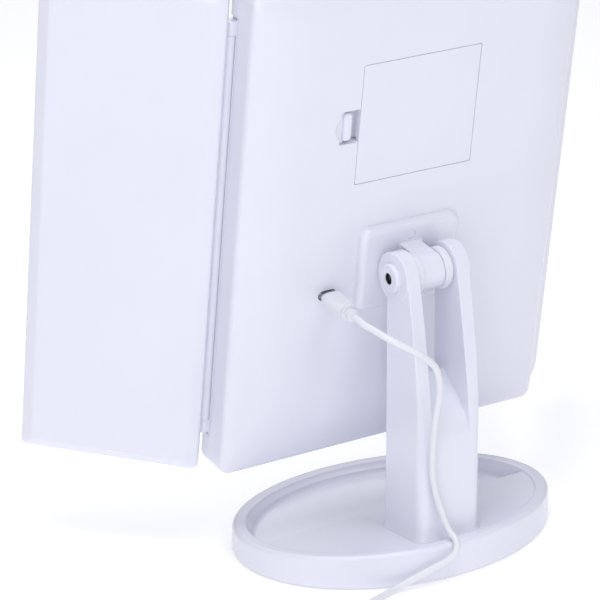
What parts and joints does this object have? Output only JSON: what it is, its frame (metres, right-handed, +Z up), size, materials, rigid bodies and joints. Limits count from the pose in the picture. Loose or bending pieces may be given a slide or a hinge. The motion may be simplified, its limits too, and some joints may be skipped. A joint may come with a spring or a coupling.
{
  "type": "trifold vanity mirror",
  "caption": "Lit tabletop mirror with two folding side mirrors, tilting in a fork on a column above an oval tray foot, with a power cord at the back.",
  "frame": {"origin": "under the foot, on the surface that it stands on, midway between its sides and 2 mm behind the middle of its length front to back", "axes": "+Z up, -Y the way the mirror faces, +X to the right seen from behind the mirror, across its width"},
  "size_m": [0.3035, 0.2221, 0.2964],
  "materials": {
    "housing_plastic": "satin",
    "mirror_glass": "polished",
    "pad_foam": "matt",
    "screw_steel": "satin",
    "washer_nylon": "matt",
    "diffuser_acrylic": "frosted",
    "mounting_tape": "matt",
    "circuit_board": "satin",
    "led_board": "satin",
    "contact_steel": "satin",
    "copper_foil": "satin",
    "battery_wrap": "gloss",
    "cord_jacket": "satin",
    "plug_plastic": "satin",
    "tie_plastic": "satin"
  },
  "bodies": {
    "stand": {"base_tray": "housing_plastic", "base_pad": "pad_foam", "stand_column": "housing_plastic", "column_screws": "screw_steel", "pivot_bolt": "screw_steel", "pivot_nut": "screw_steel", "friction_washers": "washer_nylon", "cord_run": "cord_jacket", "cord_coil": "cord_jacket", "cord_tie": "tie_plastic", "charger_plug_grip": "plug_plastic", "charger_plug_shell": "contact_steel"},
    "head": {"rear_shell": "housing_plastic", "front_bezel": "housing_plastic", "centre_mirror": "mirror_glass", "mirror_tape": "mounting_tape", "case_screws": "screw_steel", "right_diffuser": "diffuser_acrylic", "left_diffuser": "diffuser_acrylic", "right_led_strip": "led_board", "left_led_strip": "led_board", "touch_sensor": "copper_foil", "control_board": "circuit_board", "board_screws": "screw_steel", "usb_socket": "contact_steel", "mount_plate": "housing_plastic", "plate_screws": "screw_steel", "battery_1": "battery_wrap", "battery_2": "battery_wrap", "battery_3": "battery_wrap", "battery_4": "battery_wrap", "battery_springs": "contact_steel", "battery_contacts": "contact_steel", "right_hinge_pins": "screw_steel", "left_hinge_pins": "screw_steel", "plug_tip": "contact_steel", "plug_overmould": "plug_plastic"},
    "battery_door": {"battery_door": "housing_plastic"},
    "door_latch": {"door_latch": "housing_plastic"},
    "right_wing": {"right_wing_frame": "housing_plastic", "right_wing_cover": "housing_plastic", "right_wing_mirror": "mirror_glass"},
    "left_wing": {"left_wing_frame": "housing_plastic", "left_wing_cover": "housing_plastic", "left_wing_mirror_upper": "mirror_glass", "left_wing_mirror_lower": "mirror_glass"}
  },
  "joints": [
    {"name": "head_tilt", "type": "hinge", "parent": "stand", "child": "head", "pos_m": [0, 0.023, 0.141], "axis": [-1, 0, 0], "range_deg": [-15, 82], "deforming": ["cord_run"]},
    {"name": "right_wing_hinge", "type": "hinge", "parent": "head", "child": "right_wing", "pos_m": [0.0903, -0.01503, 0.14634], "axis": [0, -0.1392, -0.9903], "range_deg": [-42, 138]},
    {"name": "left_wing_hinge", "type": "hinge", "parent": "head", "child": "left_wing", "pos_m": [-0.0903, -0.01503, 0.14634], "axis": [0, 0.1392, 0.9903], "range_deg": [-55, 125]},
    {"name": "battery_door_hinge", "type": "hinge", "parent": "head", "child": "battery_door", "pos_m": [-0.032, 0.01675, 0.21509], "axis": [0, 0.1392, 0.9903], "range_deg": [0, 60]},
    {"name": "door_latch_slide", "type": "slide", "parent": "battery_door", "child": "door_latch", "axis": [-1, 0, 0], "range_m": [0, 0.0015], "stiffness_N_per_m": 800}
  ]
}
